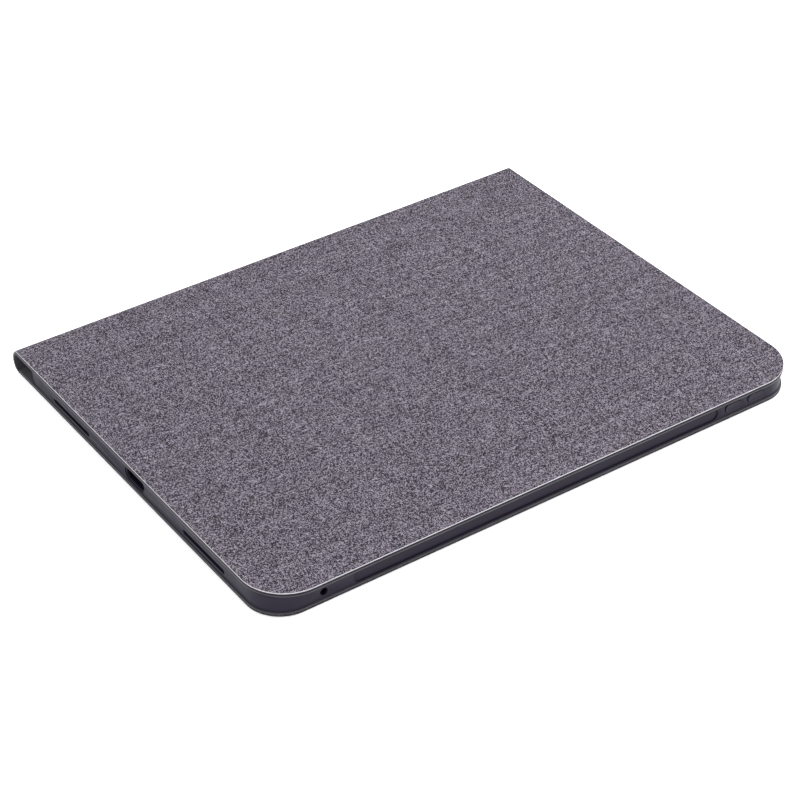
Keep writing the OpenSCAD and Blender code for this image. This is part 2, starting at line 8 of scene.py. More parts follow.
# %% Load the CAD frame
import json
import math
import bmesh
import bpy
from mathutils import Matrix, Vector

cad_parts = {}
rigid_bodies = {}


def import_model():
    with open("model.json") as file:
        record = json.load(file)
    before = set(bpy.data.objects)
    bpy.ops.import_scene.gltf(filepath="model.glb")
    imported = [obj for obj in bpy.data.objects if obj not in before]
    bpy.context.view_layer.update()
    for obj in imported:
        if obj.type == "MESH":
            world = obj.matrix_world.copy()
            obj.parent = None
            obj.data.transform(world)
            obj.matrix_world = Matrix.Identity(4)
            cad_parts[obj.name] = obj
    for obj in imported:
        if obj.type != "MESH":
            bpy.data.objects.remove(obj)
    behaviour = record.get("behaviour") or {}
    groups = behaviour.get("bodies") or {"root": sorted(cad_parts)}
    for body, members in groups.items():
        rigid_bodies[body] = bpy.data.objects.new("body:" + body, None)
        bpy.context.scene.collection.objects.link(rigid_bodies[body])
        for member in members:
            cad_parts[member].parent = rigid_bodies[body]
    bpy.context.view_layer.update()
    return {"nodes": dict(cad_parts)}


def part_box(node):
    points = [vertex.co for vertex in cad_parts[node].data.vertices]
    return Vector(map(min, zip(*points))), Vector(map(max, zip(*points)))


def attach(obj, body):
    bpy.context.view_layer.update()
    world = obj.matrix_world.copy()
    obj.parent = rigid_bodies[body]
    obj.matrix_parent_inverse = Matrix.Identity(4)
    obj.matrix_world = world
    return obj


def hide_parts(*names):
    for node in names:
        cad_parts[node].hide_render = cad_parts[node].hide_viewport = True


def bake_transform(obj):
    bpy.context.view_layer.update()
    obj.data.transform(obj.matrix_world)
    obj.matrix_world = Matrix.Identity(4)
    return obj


for leftover in list(bpy.data.objects):
    bpy.data.objects.remove(leftover)
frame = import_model()
MM = 0.001

# %% [markdown]
# ## Camera
# A long lens from the front left, well above the table, keeps the sides of the case
# nearly parallel. A small sideways shift frames it without turning the camera.

# %% Camera
camera_data = bpy.data.cameras.new("camera")
camera_data.lens = 103.62
camera_data.sensor_width = 36.0
camera_data.shift_x = 0.0619
camera_data.clip_start = 0.01
camera = bpy.data.objects.new("camera", camera_data)
bpy.context.scene.collection.objects.link(camera)
camera.location = (-0.49082, -0.71651, 0.61629)
camera.rotation_euler = [math.radians(a) for a in (54.1507, 1.3471, -33.7824)]
bpy.context.scene.camera = camera
print("camera at", tuple(camera.location), "lens", camera_data.lens)

# %% [markdown]
# ## Light and floor
# The light is that of a white photo tent: an even bright surround, a large soft lamp
# high on the right and a weaker one from the left. The floor is a plain pale sheet
# a hair below the case.

# %% Light and floor
scene = bpy.context.scene
scene.view_settings.view_transform = "Standard"
world = bpy.data.worlds.new("tent")
world.use_nodes = True
world.node_tree.nodes["Background"].inputs["Color"].default_value = (0.97, 0.98, 1.0, 1)
world.node_tree.nodes["Background"].inputs["Strength"].default_value = 1.02
scene.world = world


def soft_lamp(name, place, size, watts, target=(0.0, 0.0, 0.0)):
    """A square area lamp that looks at the target."""
    data = bpy.data.lights.new(name, "AREA")
    data.size = size
    data.energy = watts
    lamp = bpy.data.objects.new(name, data)
    scene.collection.objects.link(lamp)
    lamp.location = place
    lamp.rotation_euler = (Vector(target) - Vector(place)).to_track_quat("-Z", "Y").to_euler()
    return lamp


soft_lamp("key_lamp", (1.0, -0.3, 1.4), 1.2, 26.0)
soft_lamp("fill_lamp", (-1.3, -0.3, 1.0), 1.2, 2.0)

# %% [markdown]
# ## Helpers for modelling by hand
# Every operator acts on what is selected, and the CAD pieces come in selected. So a
# piece is opened alone in edit mode with nothing selected, and then its corners,
# edges or faces are picked by their place or the way they face.

# %% Open, pick and close


def clear_selection():
    """Leave edit mode and select nothing."""
    if bpy.context.object and bpy.context.object.mode != "OBJECT":
        bpy.ops.object.mode_set(mode="OBJECT")
    bpy.ops.object.select_all(action="DESELECT")


def choose(piece):
    """Select one piece alone and make it the active one."""
    clear_selection()
    piece.select_set(True)
    bpy.context.view_layer.objects.active = piece


def open_piece(piece):
    """Open one piece in edit mode, nothing selected."""
    choose(piece)
    bpy.ops.object.mode_set(mode="EDIT")
    bpy.ops.mesh.select_all(action="DESELECT")


def pick(piece, kind, wanted):
    """Select the vertices, edges or faces of an open piece that pass the test."""
    bpy.ops.mesh.select_mode(type=kind)
    bpy.ops.mesh.select_all(action="DESELECT")
    shape = bmesh.from_edit_mesh(piece.data)
    parts = {"VERT": shape.verts, "EDGE": shape.edges, "FACE": shape.faces}[kind]
    count = 0
    for part in parts:
        if wanted(part):
            part.select_set(True)
            count += 1
    bmesh.update_edit_mesh(piece.data)
    return count


def middle(part):
    """Middle of a vertex, an edge or a face."""
    corners = [part] if isinstance(part, bmesh.types.BMVert) else part.verts
    return sum((v.co for v in corners), Vector()) / len(corners)


def level(z):
    """A test for edges that lie at one height."""
    return lambda edge: all(abs(v.co.z - z * MM) < 0.01 * MM for v in edge.verts)


def close_piece(piece, smooth_angle=35.0):
    """Merge doubles, face outwards, leave edit mode and shade smooth below an angle."""
    bpy.ops.mesh.select_all(action="SELECT")
    bpy.ops.mesh.remove_doubles(threshold=0.001 * MM)
    bpy.ops.mesh.normals_make_consistent(inside=False)
    bpy.ops.object.mode_set(mode="OBJECT")
    bpy.ops.object.shade_smooth_by_angle(angle=math.radians(smooth_angle))
    return piece


def apply_modifier(piece, kind, **settings):
    """Add a modifier with its settings and apply it at once."""
    choose(piece)
    modifier = piece.modifiers.new(kind.lower(), kind)
    for name, value in settings.items():
        setattr(modifier, name, value)
    bpy.ops.object.modifier_apply(modifier=modifier.name)
    return piece


# %% [markdown]
# ## Flat outlines with round corners
# Cover, back, tray and keyboard all start as one rectangle whose corners are
# rounded. A vertex bevel does this on the flat sheet, before it gets any height.

# %% Sheets, prisms and pills


def add_sheet(name, x0, x1, y0, y1, z):
    """A flat rectangle from the plane primitive, in millimetres."""
    clear_selection()
    bpy.ops.mesh.primitive_plane_add(size=1.0)
    piece = bpy.context.object
    piece.name = name
    piece.scale = ((x1 - x0) * MM, (y1 - y0) * MM, 1)
    piece.location = ((x0 + x1) / 2 * MM, (y0 + y1) / 2 * MM, z * MM)
    bpy.ops.object.transform_apply(location=True, rotation=True, scale=True)
    return piece


def round_sheet(name, x0, x1, y0, y1, z, radius, steps=20, front_only=False):
    """A flat rectangle with round corners, or only the two at the front round."""
    piece = add_sheet(name, x0, x1, y0, y1, z)
    open_piece(piece)
    middle_y = (y0 + y1) / 2 * MM
    pick(piece, "VERT", lambda v: not front_only or v.co.y < middle_y)
    bpy.ops.mesh.bevel(
        offset=radius * MM, segments=steps, affect="VERTICES", profile=0.5, clamp_overlap=False,
    )
    bpy.ops.mesh.select_all(action="SELECT")
    bpy.ops.mesh.remove_doubles(threshold=0.01 * MM)
    bpy.ops.object.mode_set(mode="OBJECT")
    return piece


def pull_up(piece, height):
    """Extrude the whole sheet straight up into a closed plate."""
    open_piece(piece)
    bpy.ops.mesh.select_all(action="SELECT")
    bpy.ops.mesh.extrude_region_move(TRANSFORM_OT_translate={"value": (0, 0, height * MM)})
    close_piece(piece)
    return piece


def round_plate(name, x0, x1, y0, y1, z0, z1, radius, steps=20, front_only=False):
    """A plate with round corners between two heights."""
    return pull_up(round_sheet(name, x0, x1, y0, y1, z0, radius, steps, front_only), z1 - z0)


def stand_up(piece, axis, pivot):
    """Turn a plate made flat so that it faces along X or Y, about a point."""
    choose(piece)
    if axis == "Y":
        piece.rotation_euler = (math.radians(90), 0, 0)
    else:
        piece.rotation_euler = (math.radians(90), 0, math.radians(90))
    piece.location = [c * MM for c in pivot]
    bpy.ops.object.transform_apply(location=True, rotation=True, scale=True)
    return piece


def pill_plug(name, length, height, depth, axis, place, steps=12):
    """A bar with round ends that faces X or Y, centred on a place."""
    half_height = min(height, length) / 2 - 0.001
    piece = round_plate(
        name, -length / 2, length / 2, -height / 2, height / 2, -depth / 2, depth / 2, half_height, steps,
    )
    return stand_up(piece, axis, place)


def carve(piece, *cutters):
    """Cut the shapes of other pieces out of a piece and remove them."""
    for cutter in cutters:
        apply_modifier(piece, "BOOLEAN", operation="DIFFERENCE", object=cutter, solver="EXACT")
        bpy.data.objects.remove(cutter)
    return piece


def smooth(piece, angle=35.0):
    """Shade smooth wherever faces meet below an angle."""
    choose(piece)
    bpy.ops.object.shade_smooth_by_angle(angle=math.radians(angle))
    return piece


def soften(piece, width, segments=2, angle=40.0):
    """Round all edges sharper than an angle."""
    apply_modifier(
        piece, "BEVEL", width=width * MM, segments=segments, limit_method="ANGLE",
        angle_limit=math.radians(angle), miter_outer="MITER_ARC", harden_normals=False,
    )
    return smooth(piece)


print("helpers ready")

# %% [markdown]
# ## Sizes that the CAD gives
# Boxes of the CAD nodes fix where everything goes, so the looks follow the model.

# %% Read the sizes


def box_mm(node):
    """Lowest and highest corner of a CAD node in millimetres."""
    low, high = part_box(node)
    return [c / MM for c in low], [c / MM for c in high]


tray_low, tray_high = box_mm("tablet_tray")
back_low, back_high = box_mm("back_fabric")
cover_low, cover_high = box_mm("cover_fabric")
lining_low = box_mm("cover_lining")[0]
case_top = cover_high[2]
hinge_y = tray_high[1]
spine_bulge = 4.5
spine_radius = ((case_top / 2) ** 2 + spine_bulge**2) / (2 * spine_bulge)
spine_mid = (hinge_y + spine_bulge - spine_radius, case_top / 2)
print("tray", [round(h - l, 2) for l, h in zip(tray_low, tray_high)])
print("hinge at y", hinge_y, "spine radius", round(spine_radius, 3))

# %% [markdown]
# ## Shared surface effects
# Moulded plastic, rubber and painted metal all have a fine grain that breaks up the
# gloss, and slow changes of tone. One node group makes both, and each material sets
# how coarse and how strong. It gives a colour, a roughness and a height for a bump.

# %% Node group for moulded grain


def new_group(name, inputs, outputs):
    """A shader node group with named sockets."""
    group = bpy.data.node_groups.new(name, "ShaderNodeTree")
    for label, kind, value in inputs:
        socket = group.interface.new_socket(label, in_out="INPUT", socket_type=kind)
        if value is not None:
            socket.default_value = value
    for label, kind in outputs:
        group.interface.new_socket(label, in_out="OUTPUT", socket_type=kind)
    nodes = group.nodes
    return group, nodes.new("NodeGroupInput"), nodes.new("NodeGroupOutput")


def noise(tree, vector, scale, detail=2.0, roughness=0.5, stretch=None):
    """A noise texture, pulled out along an axis where stretch is given."""
    node = tree.nodes.new("ShaderNodeTexNoise")
    node.inputs["Detail"].default_value = detail
    node.inputs["Roughness"].default_value = roughness
    if isinstance(scale, (int, float)):
        node.inputs["Scale"].default_value = scale
    else:
        tree.links.new(scale, node.inputs["Scale"])
    if stretch:
        mapping = tree.nodes.new("ShaderNodeMapping")
        mapping.inputs["Scale"].default_value = stretch
        tree.links.new(vector, mapping.inputs["Vector"])
        vector = mapping.outputs["Vector"]
    tree.links.new(vector, node.inputs["Vector"])
    return node.outputs["Fac"]


def sums(tree, kind, a, b=None, c=None, clamp=False):
    """A math node on sockets or plain numbers."""
    node = tree.nodes.new("ShaderNodeMath")
    node.operation = kind
    node.use_clamp = clamp
    for socket, value in zip(node.inputs, (a, b, c)):
        if value is None:
            continue
        if isinstance(value, (int, float)):
            socket.default_value = value
        else:
            tree.links.new(value, socket)
    return node.outputs[0]


def swing(tree, value, strength, base):
    """Let a value between 0 and 1 move a base up and down."""
    return sums(tree, "MULTIPLY_ADD", sums(tree, "SUBTRACT", value, 0.5), strength, base)


def ramp(tree, value, low, high, to_low=0.0, to_high=1.0):
    """Map a range of values smoothly to another."""
    node = tree.nodes.new("ShaderNodeMapRange")
    node.interpolation_type = "SMOOTHSTEP"
    tree.links.new(value, node.inputs["Value"])
    limits = {"From Min": low, "From Max": high, "To Min": to_low, "To Max": to_high}
    for name, number in limits.items():
        if isinstance(number, (int, float)):
            node.inputs[name].default_value = number
        else:
            tree.links.new(number, node.inputs[name])
    return node.outputs["Result"]


def tint(tree, factor, first, second, mode="MIX"):
    """Mix two colours by a factor."""
    node = tree.nodes.new("ShaderNodeMix")
    node.data_type = "RGBA"
    node.blend_type = mode
    for name, value in (("Factor", factor), ("A", first), ("B", second)):
        socket = node.inputs[name]
        if isinstance(value, (int, float, tuple)):
            socket.default_value = value
        else:
            tree.links.new(value, socket)
    return node.outputs["Result"]


def make_grain_group():
    """Tone, gloss and height of a moulded or rolled surface."""
    group, start, end = new_group(
        "moulded_grain",
        [("Vector", "NodeSocketVector", None), ("Colour", "NodeSocketColor", (0.5, 0.5, 0.5, 1)),
         ("Grain scale", "NodeSocketFloat", 3000.0), ("Tone change", "NodeSocketFloat", 0.2),
         ("Gloss change", "NodeSocketFloat", 0.1), ("Roughness", "NodeSocketFloat", 0.5)],
        [("Colour", "NodeSocketColor"), ("Roughness", "NodeSocketFloat"), ("Height", "NodeSocketFloat")],
    )
    place = start.outputs["Vector"]
    grain = noise(group, place, start.outputs["Grain scale"], 3.0, 0.6)
    clouds = noise(group, place, 38.0, 3.0, 0.55)
    smudge = noise(group, place, 150.0, 2.0, 0.5)
    change = start.outputs["Tone change"]
    tone = swing(group, clouds, change, 1.0)
    tone = swing(group, grain, sums(group, "MULTIPLY", change, 1.2), tone)
    value = group.nodes.new("ShaderNodeVectorMath")
    value.operation = "SCALE"
    group.links.new(start.outputs["Colour"], value.inputs[0])
    group.links.new(tone, value.inputs["Scale"])
    group.links.new(value.outputs["Vector"], end.inputs["Colour"])
    gloss = swing(group, smudge, start.outputs["Gloss change"], start.outputs["Roughness"])
    fine = sums(group, "MULTIPLY", sums(group, "SUBTRACT", grain, 0.5), 0.1)
    group.links.new(sums(group, "ADD", gloss, fine, clamp=True), end.inputs["Roughness"])
    group.links.new(grain, end.inputs["Height"])
    return group


grain_group = make_grain_group()
print("group", grain_group.name, "with", len(grain_group.nodes), "nodes")

# %% Materials from the grain group


def new_material(name):
    """A material with one Principled shader."""
    material = bpy.data.materials.new(name)
    material.use_nodes = True
    return material, material.node_tree, material.node_tree.nodes["Principled BSDF"]


def object_place(tree):
    node = tree.nodes.new("ShaderNodeTexCoord")
    return node.outputs["Object"]


def bump(tree, shader, height, strength, distance):
    """Feed a height through a bump node to the shader."""
    node = tree.nodes.new("ShaderNodeBump")
    node.inputs["Strength"].default_value = strength
    node.inputs["Distance"].default_value = distance
    tree.links.new(height, node.inputs["Height"])
    tree.links.new(node.outputs["Normal"], shader.inputs["Normal"])


def moulded(
    name, colour, roughness, grain_scale, depth, metallic=0.0, tone=0.25, gloss=0.15, specular=0.5,
):
    """A moulded, painted or rolled finish with fine grain."""
    material, tree, shader = new_material(name)
    node = tree.nodes.new("ShaderNodeGroup")
    node.node_tree = grain_group
    node.inputs["Colour"].default_value = (*colour, 1)
    node.inputs["Grain scale"].default_value = grain_scale
    node.inputs["Tone change"].default_value = tone
    node.inputs["Gloss change"].default_value = gloss
    node.inputs["Roughness"].default_value = roughness
    tree.links.new(object_place(tree), node.inputs["Vector"])
    tree.links.new(node.outputs["Colour"], shader.inputs["Base Color"])
    tree.links.new(node.outputs["Roughness"], shader.inputs["Roughness"])
    shader.inputs["Metallic"].default_value = metallic
    shader.inputs["Specular IOR Level"].default_value = specular
    bump(tree, shader, node.outputs["Height"], 0.6, depth * MM)
    material.diffuse_color = (*colour, 1)
    return material


tray_finish = moulded(
    "satin_tray", (0.0150, 0.0115, 0.0235), 0.42, 2600, 0.035, tone=0.2, gloss=0.2, specular=0.13,
)
pad_finish = moulded("satin_pads", (0.016, 0.0125, 0.0245), 0.44, 2800, 0.03, tone=0.2, specular=0.15)
shell_finish = moulded("keyboard_shell", (0.055, 0.055, 0.064), 0.48, 3200, 0.04)
cap_finish = moulded("key_caps", (0.014, 0.014, 0.017), 0.5, 3800, 0.03, tone=0.3, specular=0.3)
rubber_finish = moulded("matt_rubber", (0.016, 0.016, 0.018), 0.78, 2200, 0.05, tone=0.35, specular=0.3)
magnet_finish = moulded("nickel_plate", (0.62, 0.61, 0.60), 0.28, 1500, 0.01, metallic=1.0, tone=0.1)
screw_finish = moulded("zinc_plate", (0.42, 0.42, 0.43), 0.35, 2500, 0.01, metallic=1.0)
print("moulded finishes ready")

# %% [markdown]
# ## Woven cloth
# The cover is a heather linen weave: grey and purple-grey yarns in a plain weave,
# with pale slubs that run a short way along a yarn, and painted shade that darkens
# each yarn towards its edges, most of all in the pores where four yarns meet. The
# pattern follows the cloth round the spine, so it reads a UV map that is in metres
# on the cloth itself. Cell maths gives each yarn its own tone.

# %% Node group for the weave


def yarn_tones(tree, across, along, pitch, seed):
    """Tone of the yarns of one direction: a value for each yarn, slubs along it."""
    number = sums(tree, "FLOOR", sums(tree, "DIVIDE", across, pitch))
    spot = tree.nodes.new("ShaderNodeCombineXYZ")
    tree.links.new(sums(tree, "MULTIPLY", number, 7.31), spot.inputs["X"])
    tree.links.new(sums(tree, "MULTIPLY", along, 900.0), spot.inputs["Y"])
    spot.inputs["Z"].default_value = seed
    slub = noise(tree, spot.outputs["Vector"], 1.0, 2.0, 0.6)
    whole = tree.nodes.new("ShaderNodeTexWhiteNoise")
    whole.noise_dimensions = "1D"
    tree.links.new(sums(tree, "ADD", number, seed), whole.inputs["W"])
    far = tree.nodes.new("ShaderNodeCombineXYZ")
    tree.links.new(sums(tree, "MULTIPLY", number, 3.77), far.inputs["X"])
    tree.links.new(sums(tree, "MULTIPLY", along, 140.0), far.inputs["Y"])
    far.inputs["Z"].default_value = seed + 5.0
    thread = ramp(tree, noise(tree, far.outputs["Vector"], 1.0, 1.0, 0.5), 0.58, 0.74, 0.0, 0.15)
    tone = sums(tree, "MULTIPLY_ADD", whole.outputs["Value"], 0.12, sums(tree, "MULTIPLY", slub, 0.88))
    return sums(tree, "ADD", tone, thread)


def make_weave_group():
    """Colour, roughness and height of a plain weave."""
    group, start, end = new_group(
        "plain_weave",
        [("Vector", "NodeSocketVector", None), ("Yarn pitch", "NodeSocketFloat", 0.0008),
         ("Dark", "NodeSocketColor", (0.05, 0.05, 0.06, 1)),
         ("Middle", "NodeSocketColor", (0.17, 0.155, 0.185, 1)),
         ("Pale", "NodeSocketColor", (0.42, 0.4, 0.44, 1))],
        [("Colour", "NodeSocketColor"), ("Roughness", "NodeSocketFloat"), ("Height", "NodeSocketFloat")],
    )
    pitch = start.outputs["Yarn pitch"]
    wander = noise(group, start.outputs["Vector"], 260.0, 1.0)
    split = group.nodes.new("ShaderNodeSeparateXYZ")
    group.links.new(start.outputs["Vector"], split.inputs["Vector"])
    drift = sums(group, "MULTIPLY", sums(group, "SUBTRACT", wander, 0.5), 0.0009)
    u = sums(group, "ADD", split.outputs["X"], drift)
    v = sums(group, "ADD", split.outputs["Y"], drift)
    warp = yarn_tones(group, u, v, pitch, 3.7)
    weft = yarn_tones(group, v, u, pitch, 91.2)
    yarns = [sums(group, "DIVIDE", side, pitch) for side in (u, v)]
    turn = [sums(group, "SINE", sums(group, "MULTIPLY", yarn, math.pi)) for yarn in yarns]
    crossing = sums(group, "MULTIPLY", turn[0], turn[1])
    cell = [sums(group, "FLOOR", yarn) for yarn in yarns]
    parity = sums(group, "PINGPONG", sums(group, "ADD", cell[0], cell[1]), 1.0)
    top = group.nodes.new("ShaderNodeMix")
    group.links.new(parity, top.inputs["Factor"])
    group.links.new(warp, top.inputs["A"])
    group.links.new(weft, top.inputs["B"])
    bulge_and_shade = sums(group, "ABSOLUTE", crossing)
    spot = group.nodes.new("ShaderNodeCombineXYZ")
    group.links.new(cell[0], spot.inputs["X"])
    group.links.new(cell[1], spot.inputs["Y"])
    dash = group.nodes.new("ShaderNodeTexWhiteNoise")
    dash.noise_dimensions = "2D"
    group.links.new(spot.outputs["Vector"], dash.inputs["Vector"])
    # Painted shade: the tone falls towards each yarn's edges and is darkest in the pores, as if each round
    # yarn were lit from above.
    tone = sums(group, "MULTIPLY_ADD", bulge_and_shade, 0.5, sums(group, "SUBTRACT", top.outputs["Result"], 0.12))
    tone = swing(group, dash.outputs["Value"], 0.55, tone)
    tone = swing(group, weft, 0.3, tone)
    fuzz = noise(group, start.outputs["Vector"], 3000.0, 2.0, 0.7)
    tone = swing(group, fuzz, 0.6, tone)
    patch = noise(group, start.outputs["Vector"], 90.0, 2.0, 0.5)
    tone = swing(group, patch, 0.04, tone)
    colour = tint(group, ramp(group, tone, 0.40, 0.74), start.outputs["Dark"], start.outputs["Middle"])
    colour = tint(group, ramp(group, tone, 0.66, 0.96), colour, start.outputs["Pale"])
    hue = noise(group, start.outputs["Vector"], 60.0, 1.0)
    warmer = tint(group, 1.0, colour, (0.98, 1.0, 0.93, 1), "MULTIPLY")
    colour = tint(group, ramp(group, hue, 0.42, 0.62, 0.0, 0.35), colour, warmer)
    group.links.new(colour, end.inputs["Colour"])
    group.links.new(sums(group, "MULTIPLY_ADD", tone, 0.12, 0.78, clamp=True), end.inputs["Roughness"])
    group.links.new(sums(group, "MULTIPLY_ADD", fuzz, 0.5, bulge_and_shade), end.inputs["Height"])
    return group


weave_group = make_weave_group()
print("group", weave_group.name, "with", len(weave_group.nodes), "nodes")

# %% Cloth, lining and board materials


def cloth_material(name, dark, mid, pale):
    material, tree, shader = new_material(name)
    own_map = tree.nodes.new("ShaderNodeUVMap")
    own_map.uv_map = "cloth"
    node = tree.nodes.new("ShaderNodeGroup")
    node.node_tree = weave_group
    node.inputs["Yarn pitch"].default_value = 0.5 * MM
    for label, colour in (("Dark", dark), ("Middle", mid), ("Pale", pale)):
        node.inputs[label].default_value = (*colour, 1)
    tree.links.new(own_map.outputs["UV"], node.inputs["Vector"])
    tree.links.new(node.outputs["Colour"], shader.inputs["Base Color"])
    tree.links.new(node.outputs["Roughness"], shader.inputs["Roughness"])
    shader.inputs["Specular IOR Level"].default_value = 0.12
    shader.inputs["Sheen Weight"].default_value = 0.05
    shader.inputs["Sheen Roughness"].default_value = 0.6
    bump(tree, shader, node.outputs["Height"], 0.5, 0.14 * MM)
    material.diffuse_color = (0.18, 0.17, 0.2, 1)
    return material


def lining_material():
    """Short-nap microfibre: soft clouds of brushed pile over a fine fuzz."""
    material, tree, shader = new_material("microfibre")
    own_map = tree.nodes.new("ShaderNodeUVMap")
    own_map.uv_map = "cloth"
    place = own_map.outputs["UV"]
    fuzz = noise(tree, place, 2200.0, 4.0, 0.7)
    brushed = noise(tree, place, 45.0, 3.0, 0.6, stretch=(1.0, 2.4, 1.0))
    tone = sums(tree, "MULTIPLY_ADD", fuzz, 0.6, sums(tree, "MULTIPLY", brushed, 0.4))
    colour = tint(tree, ramp(tree, tone, 0.3, 0.7), (0.022, 0.021, 0.026, 1), (0.062, 0.058, 0.07, 1))
    tree.links.new(colour, shader.inputs["Base Color"])
    tree.links.new(sums(tree, "MULTIPLY_ADD", brushed, 0.1, 0.85), shader.inputs["Roughness"])
    shader.inputs["Specular IOR Level"].default_value = 0.15
    shader.inputs["Sheen Weight"].default_value = 0.35
    bump(tree, shader, fuzz, 0.5, 0.12 * MM)
    return material


def board_material(name, dark, pale):
    """Cut edge of pressed fibre: thin layers with fibres across them."""
    material, tree, shader = new_material(name)
    place = object_place(tree)
    layers = noise(tree, place, 900.0, 3.0, 0.6, stretch=(0.25, 0.25, 4.0))
    fibres = noise(tree, place, 1600.0, 4.0, 0.65)
    tone = sums(tree, "MULTIPLY_ADD", layers, 0.55, sums(tree, "MULTIPLY", fibres, 0.45))
    colour = tint(tree, ramp(tree, tone, 0.3, 0.7), (*dark, 1), (*pale, 1))
    tree.links.new(colour, shader.inputs["Base Color"])
    tree.links.new(sums(tree, "MULTIPLY_ADD", fibres, 0.15, 0.6), shader.inputs["Roughness"])
    shader.inputs["Specular IOR Level"].default_value = 0.15
    bump(tree, shader, tone, 0.5, 0.08 * MM)
    return material


cloth_finish = cloth_material(
    "heather_cloth", (0.004, 0.003, 0.005), (0.0865, 0.0715, 0.095), (0.325, 0.287, 0.349),
)
# A darker copy of the same cloth for the upright faces of the back's turned rim: painted shade, as the rim
# stands in shadow.
shaded_rim_finish = cloth_material(
    "turned_edge_painted_shade", (0.002, 0.002, 0.003), (0.017, 0.015, 0.019), (0.075, 0.07, 0.08),
)
lining_finish = lining_material()
board_finish = board_material("fibre_board", (0.009, 0.008, 0.011), (0.026, 0.023, 0.030))
cut_edge_finish = board_material("cut_cloth_edge", (0.40, 0.38, 0.42), (0.66, 0.63, 0.68))
print("cloth, lining and board ready")


# %% [markdown]
# ## The cloth
# One length of cloth wraps the whole case. It turns at three lines: where the back
# meets the spine, at the spine's middle and where the spine meets the cover. A piece
# can bend between two bodies only, so the cloth is three pieces that meet halfway
# along each half of the spine, where nothing moves between them.

# %% Helpers for sheets of cloth


def at(y, z):
    """A point on the middle plane, in metres."""
    return 0, y * MM, z * MM


def arc_angle(y, z):
    """Angle of a point on the spine's arc, from straight out, in radians."""
    return math.atan2(z - spine_mid[1], y - spine_mid[0])


def spin_edge(piece, at_y, at_z, turn, steps):
    """Spin the straight edge at a place round the spine's middle line, upwards by a positive turn."""
    def at_place(vertex):
        return abs(vertex.co.y - at_y * MM) < 0.02 * MM and abs(vertex.co.z - at_z * MM) < 0.02 * MM

    open_piece(piece)
    pick(piece, "EDGE", lambda e: all(at_place(v) for v in e.verts))
    bpy.ops.mesh.spin(steps=steps, angle=-turn, center=at(*spine_mid), axis=(1, 0, 0))
    bpy.ops.object.mode_set(mode="OBJECT")
    return piece


def cut_rows(piece, places):
    """Cut a sheet across at several y."""
    open_piece(piece)
    for y in places:
        bpy.ops.mesh.select_all(action="SELECT")
        bpy.ops.mesh.bisect(plane_co=(0, y * MM, 0), plane_no=(0, 1, 0))
    bpy.ops.object.mode_set(mode="OBJECT")
    return piece


def lay_map(piece):
    """UV map in metres along the cloth: x across, and the way along the sheet."""
    mesh = piece.data
    layer = mesh.uv_layers.get("cloth") or mesh.uv_layers.new(name="cloth")
    far = spine_mid[0] + 2.0
    half_turn = -foot_angle
    for face in mesh.polygons:
        for index in face.loop_indices:
            x, y, z = [c / MM for c in mesh.vertices[mesh.loops[index].vertex_index].co]
            if y > far:
                u, v = x, hinge_y + spine_radius * (arc_angle(y, z) + half_turn)
            elif z > case_top / 2:
                u, v = x, 2 * hinge_y + 2 * spine_radius * half_turn - y
            else:
                u, v = x + face.normal.x * z, y + face.normal.y * z
            layer.data[index].uv = (u * MM, v * MM)
    return piece


def thicken(piece, thickness, offset, rim_offset=0):
    """Give a sheet its thickness to one side of it."""
    return apply_modifier(
        piece, "SOLIDIFY", thickness=thickness * MM, offset=offset, use_even_offset=True,
        material_offset_rim=rim_offset,
    )


def face_up(piece, up):
    """Make a sheet's flat faces look up or down before it gets its thickness."""
    open_piece(piece)
    bpy.ops.mesh.select_all(action="SELECT")
    bpy.ops.mesh.normals_make_consistent(inside=False)
    shape = bmesh.from_edit_mesh(piece.data)
    widest = max(shape.faces, key=lambda f: f.calc_area())
    if (widest.normal.z > 0) != up:
        bpy.ops.mesh.flip_normals()
    bpy.ops.object.mode_set(mode="OBJECT")
    return piece


def dress(piece, *finishes):
    """Give a piece its materials, the first on every face."""
    piece.data.materials.clear()
    for finish in finishes:
        piece.data.materials.append(finish)
    return piece


def seat(piece, finish, body, node):
    """Dress a piece and let it ride on a body in place of its CAD node."""
    dress(piece, finish)
    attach(piece, body)
    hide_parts(node)
    return piece


foot_angle = arc_angle(hinge_y, 0.0)
near_hinge = [hinge_y - before for before in (4.0, 3.0, 2.2, 1.5, 0.9, 0.4)]
seam_angle = math.radians(45)
half_cover = cover_high[0]
cover_corner = 21.5
print("the arc starts at", round(math.degrees(foot_angle), 2), "degrees")

# %% Cloth of the cover and the spine's upper quarter
cover_cloth = round_sheet(
    "cover_cloth", -half_cover, half_cover, cover_low[1], hinge_y, case_top, cover_corner, 28, front_only=True,
)
cut_rows(cover_cloth, near_hinge)
spin_edge(cover_cloth, hinge_y, case_top, -(-foot_angle - seam_angle), 9)
face_up(cover_cloth, True)
lay_map(cover_cloth)
dress(cover_cloth, cloth_finish, cut_edge_finish)
thicken(cover_cloth, 0.5, -1.0, rim_offset=1)
smooth(cover_cloth)
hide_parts("cover_fabric")
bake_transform(cover_cloth)
print("cover cloth has", len(cover_cloth.data.polygons), "faces")

# %% Cloth round the spine's middle


def arc_point(radius, angle):
    """Place in y and z on an arc round the spine's middle line."""
    return spine_mid[0] + radius * math.cos(angle), spine_mid[1] + radius * math.sin(angle)


def arc_sheet(name, half_width, radius, angle, steps):
    """A sheet along the arc from below to above the middle, spun from one edge of a plane."""
    y, z = arc_point(radius, -angle)
    piece = add_sheet(name, -half_width, half_width, y - 1, y, z)
    open_piece(piece)
    pick(piece, "VERT", lambda v: v.co.y < (y - 0.5) * MM)
    bpy.ops.mesh.delete(type="VERT")
    bpy.ops.object.mode_set(mode="OBJECT")
    return spin_edge(piece, y, z, 2 * angle, steps)


